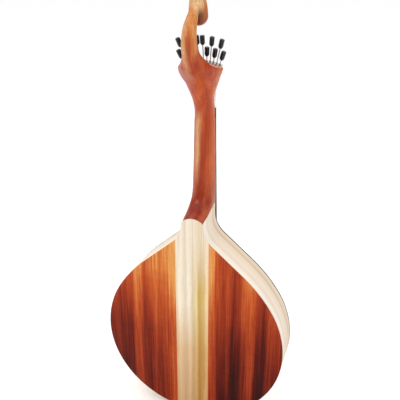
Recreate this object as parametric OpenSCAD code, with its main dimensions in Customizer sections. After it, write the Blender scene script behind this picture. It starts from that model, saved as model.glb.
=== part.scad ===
// Portuguese guitar, Coimbra pattern: twelve strings in six courses, a flat-backed pear-shaped body,
// a carved one-piece neck with a teardrop finial, and a fan tuner of twelve long screws.
// Frame: X across the body, Y from the soundboard towards the back, Z along the neck.
// The origin is on the plane of symmetry, on the glue face of the fingerboard, at the nut line.

/* [Body] */
// Greatest width of the body
body_w = 350; // [340:1:360]
// Depth from the soundboard face to the back face
body_depth = 75; // [72:0.5:80]
// Distance from the nut line down to the tail
nut_to_tail = 605; // [602:1:612]
// Thickness of the soundboard
soundboard_t = 2.6; // [2:0.1:3.2]
// Thickness of the back plates
back_t = 2.6; // [2:0.1:3.2]
// Thickness of the bent ribs
rib_t = 2.2; // [1.6:0.1:2.6]
// Width of the pale centre strip of the back
strip_w = 64; // [56:1:72]
// Radius of the soundhole
soundhole_r = 40; // [36:1:42]

/* [Neck] */
// Vibrating length of the strings, from the nut line to the saddle
scale_len = 470; // [468:1:472]
// Width of the fingerboard at the nut
nut_w = 36; // [34:0.5:38]
// Width of the fingerboard where the body begins
heel_w = 43; // [42:0.5:44]
// Thickness of the fingerboard on its centre line
board_t = 6.8; // [6:0.1:7.2]
// Number of frets
fret_count = 22; // [17:1:22]
// Lean of the headstock behind the neck line, in degrees
head_tilt = 17; // [16:0.5:18]

/* [Fan tuner] */
// Number of tuning screws, one for each string
screw_count = 12; // [12:2:12]
// Angle between neighbouring screws
screw_step = 3.75; // [3.7:0.01:3.8]
// Angle from the centre line to the two middle screws
first_screw = 2.2; // [2.15:0.01:2.25]
// Height of the screw axes in front of the headstock face
axis_h = 4.7; // [4.6:0.05:4.8]
// Distance from the fan centre to the top of the long screws
long_r = 131; // [128:1:133]
// Distance from the fan centre to the top of the short screws
short_r = 112; // [110:1:113]
// Radius of the tuning screw thread
thread_r = 1.2; // [1.15:0.01:1.25]
// Distance from the fan centre to the middle of the string hooks
hook_r = 62; // [61:0.5:63]
// Length of the black grip on each screw
knob_len = 16; // [14:0.5:16]
// Radius of the grip
knob_r = 4.1; // [3.8:0.1:4.2]

/* [Strings] */
// Height of the strings above the soundboard at the saddle
saddle_h = 13; // [12:0.5:14]
// Height of the strings above the glue face at the nut
nut_h = 8.4; // [8.3:0.1:8.8]

/* [Hidden] */
$fn = 48;

mahogany = "#b5582c";
pale_wood = "#eadcc6";
red_wood = "#95401f";
spruce = "#e2c592";
dark_wood = "#2c1a14";
bone = "#efe8d6";
nickel = "#c9c9c6";
steel = "#b9bcc0";
gloss_black = "#141415";
brass = "#c8a24a";

tail_z = -nut_to_tail;
play = 0.05;                          // radial clearance of every turning or sliding fit

// Body outline, half of it, as [x, height above the tail]
body_r = body_w / 2;
tail_rise = 168.8;                    // height of the widest line above the tail
shoulder_a = 32.9;                    // angle where the round belly ends
straight_a = 49.6;                    // angle where the straight shoulder starts
shoulder_r = 267.4;
shoulder_len = 74.7;
waist_r = 50.3;                       // hollow curve into the heel
shoulder_c = [(body_r - shoulder_r) * cos(shoulder_a), tail_rise + (body_r - shoulder_r) * sin(shoulder_a)];
straight_0 = shoulder_c + shoulder_r * [cos(straight_a), sin(straight_a)];
straight_1 = straight_0 + shoulder_len * [-sin(straight_a), cos(straight_a)];
waist_c = straight_1 + waist_r * [cos(straight_a), sin(straight_a)];
waist_x = waist_c[0] - waist_r;       // half width where the ribs meet the heel
heel_v = waist_c[1] + 2.6;            // height of the line where the body ends
rib_tip_v = heel_v + 19;              // the ribs reach further up beside the heel
heel_z = tail_z + heel_v;
tongue_rise = 9.5;                    // bulge of the back's tongue over the heel
tongue_r = (waist_x * waist_x + tongue_rise * tongue_rise) / (2 * tongue_rise);

function arc(c, r, a0, a1, n) = [for (i = [0:n])
    let (a = a0 + (a1 - a0) * i / n) c + r * [cos(a), sin(a)]];
function belly_low(n) = [for (i = [0:n]) [body_r * sin(90 * i / n), tail_rise * (1 - cos(90 * i / n))]];
function skip_first(p) = [for (i = [1:len(p) - 1]) p[i]];
function half_outline(top_v) = concat(
    belly_low(20),
    skip_first(arc([0, tail_rise], body_r, 0, shoulder_a, 8)),
    skip_first(arc(shoulder_c, shoulder_r, shoulder_a, straight_a, 4)),
    skip_first(arc(waist_c, waist_r, 180 + straight_a, 180, 8)),
    [[waist_x, top_v]]);
// Direction along the outline at point i, level at the tail and upright at the top
function along(p, i) = i == 0 ? [1, 0] : i == len(p) - 1 ? [0, 1]
    : (p[i + 1] - p[i - 1]) / norm(p[i + 1] - p[i - 1]);
function inset(p, d) = [for (i = [0:len(p) - 1]) p[i] + d * [-along(p, i)[1], along(p, i)[0]]];
function mirrored(p) = [for (i = [len(p) - 1:-1:0]) [-p[i][0], p[i][1]]];
function closed(p) = concat(p, mirrored(p));
function half_width(v, d) = lookup(v, [for (p = inset(half_outline(heel_v), d)) [p[1], p[0]]]);

// Thickness through the body: a plan shape, [x, height above the tail], from depth y0 to depth y1
module plate(y0, y1) {
    translate([0, y1, tail_z]) rotate([90, 0, 0]) linear_extrude(height = y1 - y0) children();
}
// A bent strip that follows one half of the outline, between two insets
module half_band(side, d0, d1, y0, y1, top_v) {
    outer = inset(half_outline(top_v), d0);
    inner = inset(half_outline(top_v), d1);
    plate(y0, y1) mirror([side < 0 ? 1 : 0, 0])
        polygon(concat(outer, [for (i = [len(inner) - 1:-1:0]) inner[i]]));
}

// Headstock frame: the face of the headstock is its XZ plane and -Y is in front of it
fan_s = -2.4;                         // the fan centre lies just below the nut line
flange_h = 6.4;                       // height of the two screw bearings
low_flange = [44, 47];                // radii of the bearing near the nut
top_flange = [84, 88];                // radii of the bearing at the knob end
plate_h = 1;
collar_len = 1.5;
shank_r = 0.9;
hook_len = 7;
hook_w = 3.2;
post_r = 0.8;
post_h = 8.9;                         // tip of the hook's post in front of the face
post_s = hook_r - 2;                  // the post stands near the nut end of its block
string_hook_h = 7.8;

function ray_angle(k) = (k < screw_count / 2 ? -1 : 1)
    * (first_screw + screw_step * abs(k - (screw_count - 1) / 2) - screw_step / 2);
// Long and short screws take turns from the middle out, the two middle ones are long
function knob_top(k) = floor(abs(k - (screw_count - 1) / 2)) % 2 == 0 ? long_r : short_r;

module head_frame() {
    rotate([-head_tilt, 0, 0]) children();
}
module on_face(h0, h1) {
    head_frame() rotate([90, 0, 0]) translate([0, 0, h0]) linear_extrude(height = h1 - h0) children();
}
module ray(k) {
    head_frame() translate([0, -axis_h, fan_s]) rotate([0, ray_angle(k), 0]) children();
}

// Neck, headstock, stem and teardrop are one carving: rings of points swept along it
ring_back = 18;
ring_front = 6;
// Ring in a plane that leans by a: half width w, depth d behind its chord, f in front of it.
// The power p makes the back squarer below 1 and more ridged above 1
function ring(y, z, a, w, d, p, f) = concat(
    [for (j = [0:ring_back])
        let (t = 180 * j / ring_back, h = d * pow(max(sin(t), 0), p))
        [w * cos(t), y + h * cos(a), z - h * sin(a)]],
    [for (j = [1:ring_front - 1])
        let (t = 180 * j / ring_front, h = -f * sin(t))
        [-w * cos(t), y + h * cos(a), z - h * sin(a)]]);
function head_ring(s, h, w, d, p, f) = ring(
    s * sin(head_tilt) + h * cos(head_tilt), s * cos(head_tilt) - h * sin(head_tilt), head_tilt, w, d, p, f);
shaft_w = function(z) nut_w / 2 + (heel_w - nut_w) / 2 * min(1, z / heel_z);
heel_depth = body_depth - back_t;
neck_rings = concat(
    // heel: [z, depth, power]
    [for (s = [[heel_z, heel_depth, 0.2], [-189, heel_depth, 0.35], [-184.5, heel_depth - 0.6, 0.6],
               [-181, 68, 0.75], [-178, 60, 0.8], [-173, 50, 0.85], [-167, 43, 0.9], [-158, 37.5, 0.9],
               [-146, 34.5, 0.9], [-128, 32, 0.9], [-105, 29.5, 0.9], [-75, 27, 0.9], [-45, 25, 0.9],
               [-18, 23.5, 0.9]])
        ring(0, s[0], 0, shaft_w(s[0]), s[1], s[2], 0)],
    // headstock: [distance along the face, set back, half width, depth, power, front bulge]
    [for (s = [[6, 0, 17.6, 24, 0.95, 0], [23, 0, 17.6, 26, 1, 0], [36, 0, 20, 29, 1.1, 0],
               [49, 0, 25, 33, 1.3, 0], [60, 0, 29.5, 37, 1.6, 0], [71, 0, 34, 42, 2, 0],
               [80, 0, 37.5, 46, 2.6, 0],
               [84, 1, 37, 47, 3, 0], [87.5, 6, 32, 43, 2.6, 1], [91, 14, 25, 36, 2, 3],
               [96, 24, 19, 27, 1.4, 7], [104, 33, 15, 19, 1.1, 10]])
        head_ring(s[0], s[1], s[2], s[3], s[4], s[5])],
    // stem and teardrop: [y, z, lean, half width, depth behind, depth in front]
    [for (s = [[73, 97, 22, 14.6, 14, 13], [80, 110, 12, 13.1, 13.4, 13], [81.6, 119, 4, 12.5, 12.6, 12.4],
               [80.3, 130, -12, 11.8, 11.4, 11.4], [75.8, 141, -30, 10.6, 10.4, 10.4],
               [68.5, 150, -46, 9.4, 9.6, 9.6], [60, 158, -50, 8.8, 9.2, 9.2], [51, 167, -42, 10.5, 10.5, 12],
               [44, 178, -26, 12.8, 12.4, 13], [40.5, 189, -10, 9.4, 9.4, 9.4], [40, 196.5, -4, 5.8, 5.8, 5.8],
               [39, 203, 0, 2.4, 2.4, 2.4], [38.8, 205.5, 0, 0.8, 0.8, 0.8]])
        ring(s[0], s[1], s[2], s[3], s[4], 1, s[5])]);
drop_balls = [[36, 154.5, 15.6], [39, 170, 14.6]];        // [y, z, radius]

module loft(rings) {
    m = len(rings[0]);
    n = len(rings);
    polyhedron(
        points = [for (r = rings) for (p = r) p],
        faces = concat(
            [[for (j = [0:m - 1]) j]],
            [for (i = [0:n - 2]) for (j = [0:m - 1])
                let (a = i * m + j, b = i * m + (j + 1) % m, c = a + m, d = b + m)
                each [[a, c, d], [a, d, b]]],
            [[for (j = [m - 1:-1:0]) (n - 1) * m + j]]));
}
rib_pocket = 0.02;
module neck() {
    block_w = 2 * (waist_x - rib_t) - 0.4;
    color(mahogany) difference() {
        union() {
            loft(neck_rings);
            for (b = drop_balls) translate([0, b[0], b[1]]) sphere(r = b[2], $fn = 28);
            translate([-block_w / 2, soundboard_t, heel_z - 26]) cube([block_w, heel_depth - soundboard_t, 27]);
        }
        for (side = [-1, 1]) rib_blank(side, rib_pocket);
    }
}

module board_plan(y0, y1, z0, z1, shrink) {
    slope = (heel_w - nut_w) / 2 / -heel_z;
    w = function(z) nut_w / 2 - slope * z - shrink;
    translate([0, y1, 0]) rotate([90, 0, 0]) linear_extrude(height = y1 - y0)
        polygon([[-w(z0), z0], [w(z0), z0], [w(z1), z1], [-w(z1), z1]]);
}
arch_r = 260;                         // cross arch of the fingerboard
board_end = -342;
fret_w = 2;
fret_h = 1;
tang_w = 0.6;
tang_h = 2.4;
function fret_z(n) = -scale_len * (1 - pow(2, -n / 12));
module arch(extra) {
    translate([0, arch_r - board_t, board_end - 1]) cylinder(r = arch_r + extra, h = -board_end + 2, $fn = 720);
}
module tangs() {
    for (n = [1:fret_count])
        translate([-30, -board_t + 0.1 - 0.6, fret_z(n) - tang_w / 2]) cube([60, tang_h + 0.5, tang_w]);
}
module fingerboard() {
    color(dark_wood) difference() {
        intersection() {
            board_plan(-board_t - 1, 0, board_end, 0, 0);
            arch(0);
        }
        tangs();
        dots();
    }
}
module frets() {
    color(nickel) union() {
        intersection() {
            difference() {
                arch(fret_h);
                arch(0);
            }
            intersection() {
                board_plan(-board_t - 2, 0, board_end, 0, 0.3);
                for (n = [1:fret_count])
                    translate([-30, -12, fret_z(n) - fret_w / 2]) cube([60, 12, fret_w]);
            }
        }
        intersection() {
            board_plan(-board_t - 2, 0, board_end, 0, 0);
            arch(0);
            tangs();
        }
    }
}
dot_r = 2.8;
dot_t = 1.2;
// Inlays lie between frets: [fret, offset to each side]
dot_places = [[3, 0], [5, 0], [7, 0], [10, 0], [12, 6], [15, 0], [17, 0]];
module dots() {
    for (d = dot_places) for (side = (d[1] == 0 ? [0] : [-1, 1]))
        translate([side * d[1], -board_t + dot_t, (fret_z(d[0]) + fret_z(d[0] - 1)) / 2])
            rotate([90, 0, 0]) cylinder(r = dot_r, h = dot_t + 1, $fn = 96);
}
module position_dots() {
    color(bone) intersection() {
        dots();
        arch(0);
    }
}
nut_len = 5;
module nut() {
    color(bone) intersection() {
        translate([-nut_w / 2, 0, 0]) rotate([90, 0, 90]) linear_extrude(height = nut_w)
            polygon([[0, 0], [-nut_h + 0.3, 0], [-nut_h + 0.3, nut_len - 1.5], [-nut_h + 1.6, nut_len],
                     [nut_len * tan(head_tilt), nut_len]]);
        translate([0, arch_r - nut_h + 0.3, -1]) cylinder(r = arch_r, h = nut_len + 2, $fn = 96);
    }
}

hole_v = nut_to_tail - 383;           // soundhole centre above the tail
rosette_r = [42, 50];
rosette_t = 0.8;
binding_w = 2.4;
module ring_at_hole(r0, r1) {
    translate([0, hole_v]) difference() {
        circle(r = r1, $fn = 96);
        circle(r = r0, $fn = 96);
    }
}
module soundboard() {
    color(spruce) difference() {
        plate(0, soundboard_t) difference() {
            polygon(closed(inset(half_outline(heel_v), binding_w)));
            translate([0, hole_v]) circle(r = soundhole_r, $fn = 96);
        }
        plate(-1, rosette_t) ring_at_hole(rosette_r[0], rosette_r[1]);
    }
}
module rosette() {
    color(dark_wood) plate(0, rosette_t) ring_at_hole(rosette_r[0], rosette_r[1]);
}
module soundboard_binding() {
    color(dark_wood) plate(0, soundboard_t) difference() {
        polygon(closed(half_outline(heel_v)));
        polygon(closed(concat(inset(half_outline(heel_v), binding_w), [[waist_x - binding_w, heel_v + 1]])));
    }
}

module tongue() {
    intersection() {
        translate([-waist_x, heel_v - 1]) square([2 * waist_x, tongue_rise + 2]);
        translate([0, heel_v + tongue_rise - tongue_r]) circle(r = tongue_r, $fn = 96);
    }
}
module back_center_strip() {
    color(pale_wood) plate(body_depth - back_t, body_depth) union() {
        intersection() {
            polygon(closed(half_outline(heel_v)));
            translate([-strip_w / 2, -1]) square([strip_w, heel_v + 1]);
        }
        tongue();
    }
}
module back_wing(side) {
    color(red_wood) plate(body_depth - back_t, body_depth) mirror([side < 0 ? 1 : 0, 0]) intersection() {
        polygon(closed(half_outline(heel_v)));
        translate([strip_w / 2, -1]) square([body_w, heel_v]);
    }
}

// A rib runs from the middle of the tail to a slanting tip beside the heel
module rib_blank(side, grow) {
    difference() {
        half_band(side, -grow, rib_t + grow, soundboard_t, heel_depth, rib_tip_v);
        translate([-100, 0, 0]) rotate([90, 0, 90]) linear_extrude(height = 200)
            polygon([[-1, tail_z + rib_tip_v + grow], [soundboard_t, tail_z + rib_tip_v + grow],
                     [heel_depth + 1, heel_z + grow], [heel_depth + 1, heel_z + 40], [-1, heel_z + 40]]);
    }
}
lining_w = 5;
lining_h = 11;
inner_face = rib_t;
module linings() {
    color(spruce) for (side = [-1, 1]) difference() {
        union() {
            half_band(side, inner_face, inner_face + lining_w, soundboard_t, soundboard_t + lining_h, heel_v);
            half_band(side, inner_face, inner_face + lining_w, heel_depth - lining_h, heel_depth, heel_v);
        }
        plate(0, body_depth) union() {
            translate([-tail_block_w / 2 - 0.1, -1]) square([tail_block_w + 0.2, 30]);
            translate([-30, heel_v - 27]) square([60, 40]);
        }
    }
}
tail_block_w = 70;
tail_block_v = 22;
module tail_block() {
    color(mahogany) plate(soundboard_t, heel_depth) intersection() {
        polygon(closed(inset(half_outline(heel_v), inner_face)));
        translate([-tail_block_w / 2, 0]) square([tail_block_w, tail_block_v]);
    }
}
// Cross bars with scalloped ends: bar at height v above the tail, thickness along the body, depth
module bar(v, t, depth, front) {
    w = min(half_width(v - t / 2, inner_face + lining_w), half_width(v + t / 2, inner_face + lining_w)) - 0.5;
    low = 3.5;
    run = 26;
    translate([0, front > 0 ? soundboard_t : heel_depth, tail_z + v - t / 2]) mirror([0, front > 0 ? 0 : 1, 0])
        linear_extrude(height = t)
            polygon([[-w, 0], [w, 0], [w, low], [w - run, depth], [run - w, depth], [-w, low]]);
}
module soundboard_braces() {
    color(spruce) for (v = [86, 166, 278, 338]) bar(v, 7, 15, 1);
}
module back_braces() {
    color(spruce) for (v = [84, 186, 290]) bar(v, 8, 13, -1);
}

bridge_w = 92;
bridge_len = 11;
bridge_h = 9.5;
saddle_w = 54;
saddle_t = 3;
module bridge() {
    color(dark_wood) translate([0, 0, -scale_len - bridge_len / 2]) difference() {
        linear_extrude(height = bridge_len)
            polygon([[-bridge_w / 2, 0], [-bridge_w / 2, -2.5], [-34, -5], [-30, -bridge_h], [30, -bridge_h],
                     [34, -5], [bridge_w / 2, -2.5], [bridge_w / 2, 0], [26, 0], [20, -3], [-20, -3],
                     [-26, 0]]);
        translate([-saddle_w / 2, -bridge_h - 1, (bridge_len - saddle_t) / 2]) cube([saddle_w, 4, saddle_t]);
    }
}
module saddle() {
    color(bone) translate([-saddle_w / 2, -saddle_h + 0.45, -scale_len - saddle_t / 2])
        cube([saddle_w, saddle_h - 0.45 - bridge_h + 3, saddle_t]);
}

tailpiece_half = 33;
tailpiece_t = 1.4;
tailpiece_drop = 44;
pin_z = tail_z + 8;
module tailpiece() {
    wide = half_outline(heel_v);
    color(nickel) {
        plate(-tailpiece_t, tailpiece_drop) intersection() {
            difference() {
                polygon(closed(inset(wide, -tailpiece_t)));
                polygon(closed(wide));
            }
            translate([-tailpiece_half, -10]) square([2 * tailpiece_half, 30]);
        }
        plate(-tailpiece_t, 0) intersection() {
            polygon(closed(inset(wide, -tailpiece_t)));
            translate([-tailpiece_half, -10]) square([2 * tailpiece_half, 24]);
        }
        for (i = [0:11])
            translate([string_x_tail(i), 0, pin_z]) rotate([90, 0, 0]) cylinder(r = 1.1, h = 5.4, $fn = 24);
    }
}
module screw(shank_r, shank_l, head_r, head_h) {
    translate([0, 0, -shank_l]) cylinder(r = shank_r, h = shank_l + 0.01, $fn = 24);
    cylinder(r = head_r, h = head_h, $fn = 24);
}
module tailpiece_screws() {
    color(nickel) for (x = [-24, 0, 24]) for (y = [22, 36])
        translate([x, y, tail_z - tailpiece_t + tail_rise * (1 - cos(asin(x / body_r)))]) rotate([180, 0, 0])
            screw(1.1, 13, 2.4, 1.1);
}

fan_half_a = 24.2;
module fan_sector(r0, r1, half_a) {
    far = r1 / cos(half_a) + 5;
    translate([0, fan_s]) intersection() {
        difference() {
            circle(r = r1, $fn = 96);
            circle(r = r0, $fn = 96);
        }
        polygon([[0, 0], [-far * sin(half_a), far * cos(half_a)], [far * sin(half_a), far * cos(half_a)]]);
    }
}
module fan_plate() {
    color(nickel) difference() {
        union() {
            on_face(0, plate_h) fan_sector(33, top_flange[1], fan_half_a);
            on_face(0, flange_h) fan_sector(low_flange[0], low_flange[1], fan_half_a);
            on_face(0, flange_h) fan_sector(top_flange[0], top_flange[1], fan_half_a);
        }
        for (k = [0:screw_count - 1]) ray(k) {
            translate([0, 0, low_flange[0] - 5]) cylinder(r = 1 + play, h = 12, $fn = 32);
            translate([0, 0, top_flange[0] - 5]) cylinder(r = thread_r + play, h = 14, $fn = 32);
        }
    }
}
module fan_plate_screws() {
    color(brass) for (p = [[38, -15], [38, 15], [79, -12.4], [79, 12.4]])
        head_frame() translate([0, 0, fan_s]) rotate([0, p[1], 0])
            translate([0, -plate_h, p[0]]) rotate([90, 0, 0])
            screw(1, 9, 2, 0.9);
}

module tuning_screw(k) {
    top = knob_top(k);
    color(steel) ray(k) union() {
        translate([0, 0, low_flange[0] - 1]) cylinder(r = 1, h = 4.2, $fn = 32);
        translate([0, 0, low_flange[1] + 0.2])
            cylinder(r = thread_r, h = top_flange[1] - low_flange[1], $fn = 32);
        translate([0, 0, top_flange[1] + play]) cylinder(r = 1.9, h = collar_len, $fn = 32);
        translate([0, 0, top_flange[1]]) cylinder(r = shank_r, h = top - 3 - top_flange[1], $fn = 32);
    }
}
module screw_knob(k) {
    taper = 3;
    color(gloss_black) ray(k) difference() {
        translate([0, 0, knob_top(k) - knob_len]) rotate_extrude($fn = 40)
            polygon([[0, 0], [knob_r - 1.7, 0], [knob_r, taper], [knob_r, knob_len - 0.5],
                     [knob_r - 0.5, knob_len], [0, knob_len]]);
        translate([0, 0, knob_top(k) - knob_len - 1]) cylinder(r = shank_r, h = knob_len - 2, $fn = 32);
    }
}
module string_hook(k) {
    gap = 0.15;
    color(steel) ray(k) difference() {
        union() {
            translate([-hook_w / 2, axis_h - flange_h + 0.1, hook_r - hook_len / 2])
                cube([hook_w, flange_h - 0.1 - plate_h - gap, hook_len]);
            translate([0, axis_h - flange_h + 0.2, post_s]) rotate([90, 0, 0])
                cylinder(r = post_r, h = post_h - flange_h + 0.2, $fn = 24);
            translate([0, axis_h - post_h + 0.4, post_s]) rotate([90, 0, 0])
                cylinder(r = 1.3, h = 0.5, $fn = 24);
        }
        translate([0, 0, hook_r - hook_len]) cylinder(r = thread_r + play, h = 2 * hook_len, $fn = 32);
    }
}

// Six courses of two strings: spacing of the courses and of the strings in a pair
nut_course = 5.6;
nut_pair = 2;
saddle_course = 9.3;
saddle_pair = 2.6;
string_r = [0.42, 0.2, 0.36, 0.16, 0.28, 0.13, 0.19, 0.19, 0.14, 0.14, 0.12, 0.12];
function spread(i, course, pair) = (floor(i / 2) - 2.5) * course + (i % 2 - 0.5) * pair;
function string_x(i, z) = spread(i, nut_course, nut_pair)
    + (spread(i, saddle_course, saddle_pair) - spread(i, nut_course, nut_pair)) * z / -scale_len;
function string_x_tail(i) = string_x(i, pin_z);
string_sides = 8;
// A thin rod through points that run mostly along Z, as one closed tube
module strand(points, r) {
    n = len(points);
    m = string_sides;
    dir = function(i) points[min(i + 1, n - 1)] - points[max(i - 1, 0)];
    side = function(i) cross(dir(i), [1, 0, 0]) / norm(cross(dir(i), [1, 0, 0]));
    polyhedron(
        points = [for (i = [0:n - 1]) for (j = [0:m - 1])
            points[i] + r * (cos(360 * j / m) * [1, 0, 0] + sin(360 * j / m) * side(i))],
        faces = concat(
            [[for (j = [m - 1:-1:0]) j]],
            [for (i = [0:n - 2]) for (j = [0:m - 1])
                let (a = i * m + j, b = i * m + (j + 1) % m, c = a + m, d = b + m)
                each [[a, b, d], [a, d, c]]],
            [[for (j = [0:m - 1]) (n - 1) * m + j]]));
}
function turned_x(p, a) = [p[0], p[1] * cos(a) - p[2] * sin(a), p[1] * sin(a) + p[2] * cos(a)];
function turned_y(p, a) = [p[0] * cos(a) + p[2] * sin(a), p[1], -p[0] * sin(a) + p[2] * cos(a)];
function on_ray(k, p) = turned_x([0, -axis_h, fan_s] + turned_y(p, ray_angle(k)), -head_tilt);
loop_r = 1.2;
module strings() {
    color(steel) for (i = [0:11]) {
        r = string_r[i];
        pin = [string_x_tail(i), -4.2, pin_z];
        saddle_top = [string_x(i, -scale_len), -saddle_h, -scale_len];
        nut_front = [string_x(i, 0), -nut_h, 0];
        nut_back = [string_x(i, 0), -nut_h, nut_len - 1.5];
        hook_end = on_ray(i, [0, axis_h - string_hook_h, post_s - loop_r - 0.2]);
        strand([pin + [0, 0, 1.1 + r], saddle_top, nut_front, nut_back, hook_end], r);
    }
}

neck();
fingerboard();
frets();
position_dots();
nut();
soundboard();
rosette();
soundboard_binding();
back_center_strip();
back_wing(-1);  // back_wing_left
back_wing(1);  // back_wing_right
color(pale_wood) rib_blank(-1, 0);  // rib_left
color(pale_wood) rib_blank(1, 0);  // rib_right
linings();
tail_block();
soundboard_braces();
back_braces();
bridge();
saddle();
tailpiece();
tailpiece_screws();
fan_plate();
fan_plate_screws();
strings();
tuning_screw(0);  // tuning_screw_01
tuning_screw(1);  // tuning_screw_02
tuning_screw(2);  // tuning_screw_03
tuning_screw(3);  // tuning_screw_04
tuning_screw(4);  // tuning_screw_05
tuning_screw(5);  // tuning_screw_06
tuning_screw(6);  // tuning_screw_07
tuning_screw(7);  // tuning_screw_08
tuning_screw(8);  // tuning_screw_09
tuning_screw(9);  // tuning_screw_10
tuning_screw(10);  // tuning_screw_11
tuning_screw(11);  // tuning_screw_12
screw_knob(0);  // screw_knob_01
screw_knob(1);  // screw_knob_02
screw_knob(2);  // screw_knob_03
screw_knob(3);  // screw_knob_04
screw_knob(4);  // screw_knob_05
screw_knob(5);  // screw_knob_06
screw_knob(6);  // screw_knob_07
screw_knob(7);  // screw_knob_08
screw_knob(8);  // screw_knob_09
screw_knob(9);  // screw_knob_10
screw_knob(10);  // screw_knob_11
screw_knob(11);  // screw_knob_12
string_hook(0);  // string_hook_01
string_hook(1);  // string_hook_02
string_hook(2);  // string_hook_03
string_hook(3);  // string_hook_04
string_hook(4);  // string_hook_05
string_hook(5);  // string_hook_06
string_hook(6);  // string_hook_07
string_hook(7);  // string_hook_08
string_hook(8);  // string_hook_09
string_hook(9);  // string_hook_10
string_hook(10);  // string_hook_11
string_hook(11);  // string_hook_12
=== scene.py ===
import bpy, bmesh, math
import numpy as np
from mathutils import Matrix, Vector
from mathutils.geometry import tessellate_polygon


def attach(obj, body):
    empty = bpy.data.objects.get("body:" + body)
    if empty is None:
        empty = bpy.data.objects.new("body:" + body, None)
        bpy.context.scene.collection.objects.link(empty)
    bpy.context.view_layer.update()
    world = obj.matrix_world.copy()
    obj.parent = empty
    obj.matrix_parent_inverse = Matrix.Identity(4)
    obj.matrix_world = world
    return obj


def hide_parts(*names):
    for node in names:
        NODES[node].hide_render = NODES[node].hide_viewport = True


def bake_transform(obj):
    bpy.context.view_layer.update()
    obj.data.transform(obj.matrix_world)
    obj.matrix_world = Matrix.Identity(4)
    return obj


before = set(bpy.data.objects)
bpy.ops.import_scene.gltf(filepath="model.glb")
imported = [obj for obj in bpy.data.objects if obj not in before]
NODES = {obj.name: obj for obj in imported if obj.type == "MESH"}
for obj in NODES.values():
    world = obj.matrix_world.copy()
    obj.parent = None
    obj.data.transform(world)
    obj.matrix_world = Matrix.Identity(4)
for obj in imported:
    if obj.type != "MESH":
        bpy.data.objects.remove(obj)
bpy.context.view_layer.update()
MM = 0.001

# ------------------------------------------------------------ sizes, in millimetres, as in the CAD model

BODY_W = 350
BODY_DEPTH = 75
NUT_TO_TAIL = 605
TAIL_Z = -NUT_TO_TAIL
PLATE_T = 2.6
RIB_T = 2.2
STRIP_HALF = 32
SCALE_LEN = 470
BINDING_W = 2.4
HOLE_V = NUT_TO_TAIL - 383
HOLE_R = 40
TILT = math.radians(17)
FAN_S = -2.4
AXIS_H = 4.7
SCREWS = 12
NUT_H = 8.4
NUT_LEN = 5
SADDLE_H = 13
HOOK_R = 62
POST_S = HOOK_R - 2
STRING_HOOK_H = 7.8
FLANGE_H = 6.4
ROSETTE_T = 0.8
ROSETTE_MID_R = 46
ROSETTE_HALF_W = 4
FAN_R = 88.2
THREAD_PITCH = 0.8

# ------------------------------------------------------------ camera, light and floor

scene = bpy.context.scene
scene.view_settings.view_transform = "Standard"
scene.view_settings.look = "None"

CAMERA_AT = Vector((-0.3050, 0.9171, 0.2102))
CAMERA_TO = Vector((-0.0158, 0.0750, -0.1449))
FLOOR_Z = -0.6075
FLOOR_HALF = 60


def add_camera():
    data = bpy.data.cameras.new("camera")
    data.lens = 50.1
    data.sensor_width = 36
    cam = bpy.data.objects.new("camera", data)
    scene.collection.objects.link(cam)
    cam.location = CAMERA_AT
    cam.rotation_mode = "QUATERNION"
    cam.rotation_quaternion = (CAMERA_TO - CAMERA_AT).to_track_quat("-Z", "Y")
    scene.camera = cam


def add_light(name, at, to, size, watts, colour=(1, 1, 1)):
    data = bpy.data.lights.new(name, "AREA")
    data.energy = watts
    data.color = colour
    data.shape = "RECTANGLE"
    data.size = data.size_y = size
    light = bpy.data.objects.new(name, data)
    scene.collection.objects.link(light)
    light.location = at
    light.rotation_mode = "QUATERNION"
    light.rotation_quaternion = (Vector(to) - Vector(at)).to_track_quat("-Z", "Y")


def add_sky_lamp(strength):
    """Very soft light from straight above, which keeps the pale floor even."""
    data = bpy.data.lights.new("overhead", "SUN")
    data.energy = strength
    data.angle = math.radians(120)
    lamp = bpy.data.objects.new("overhead", data)
    scene.collection.objects.link(lamp)


def add_backdrop(light_level, seen_level):
    """White surroundings, dimmer as a light than as a background."""
    world = bpy.data.worlds.new("studio")
    scene.world = world
    world.use_nodes = True
    tree = world.node_tree
    backdrop = tree.nodes["Background"]
    backdrop.inputs["Color"].default_value = (1, 1, 1, 1)
    eye_ray = tree.nodes.new("ShaderNodeLightPath")
    strength = tree.nodes.new("ShaderNodeMapRange")
    strength.inputs["To Min"].default_value = light_level
    strength.inputs["To Max"].default_value = seen_level
    tree.links.new(eye_ray.outputs["Is Camera Ray"], strength.inputs["Value"])
    tree.links.new(strength.outputs["Result"], backdrop.inputs["Strength"])


def add_floor():
    mesh = bpy.data.meshes.new("floor")
    r = FLOOR_HALF
    corners = [(-r, -r, FLOOR_Z), (r, -r, FLOOR_Z), (r, r, FLOOR_Z), (-r, r, FLOOR_Z)]
    mesh.from_pydata(corners, [], [(0, 1, 2, 3)])
    floor = bpy.data.objects.new("floor", mesh)
    scene.collection.objects.link(floor)
    mat = bpy.data.materials.new("floor_pale")
    mat.use_nodes = True
    bsdf = mat.node_tree.nodes["Principled BSDF"]
    bsdf.inputs["Base Color"].default_value = (0.96, 0.96, 0.96, 1)
    bsdf.inputs["Roughness"].default_value = 0.9
    mesh.materials.append(mat)


# ------------------------------------------------------------ materials

def srgb(r, g, b):
    def linear(c):
        c = c / 255
        return c / 12.92 if c <= 0.04045 else ((c + 0.055) / 1.055) ** 2.4
    return (linear(r), linear(g), linear(b), 1)


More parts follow.
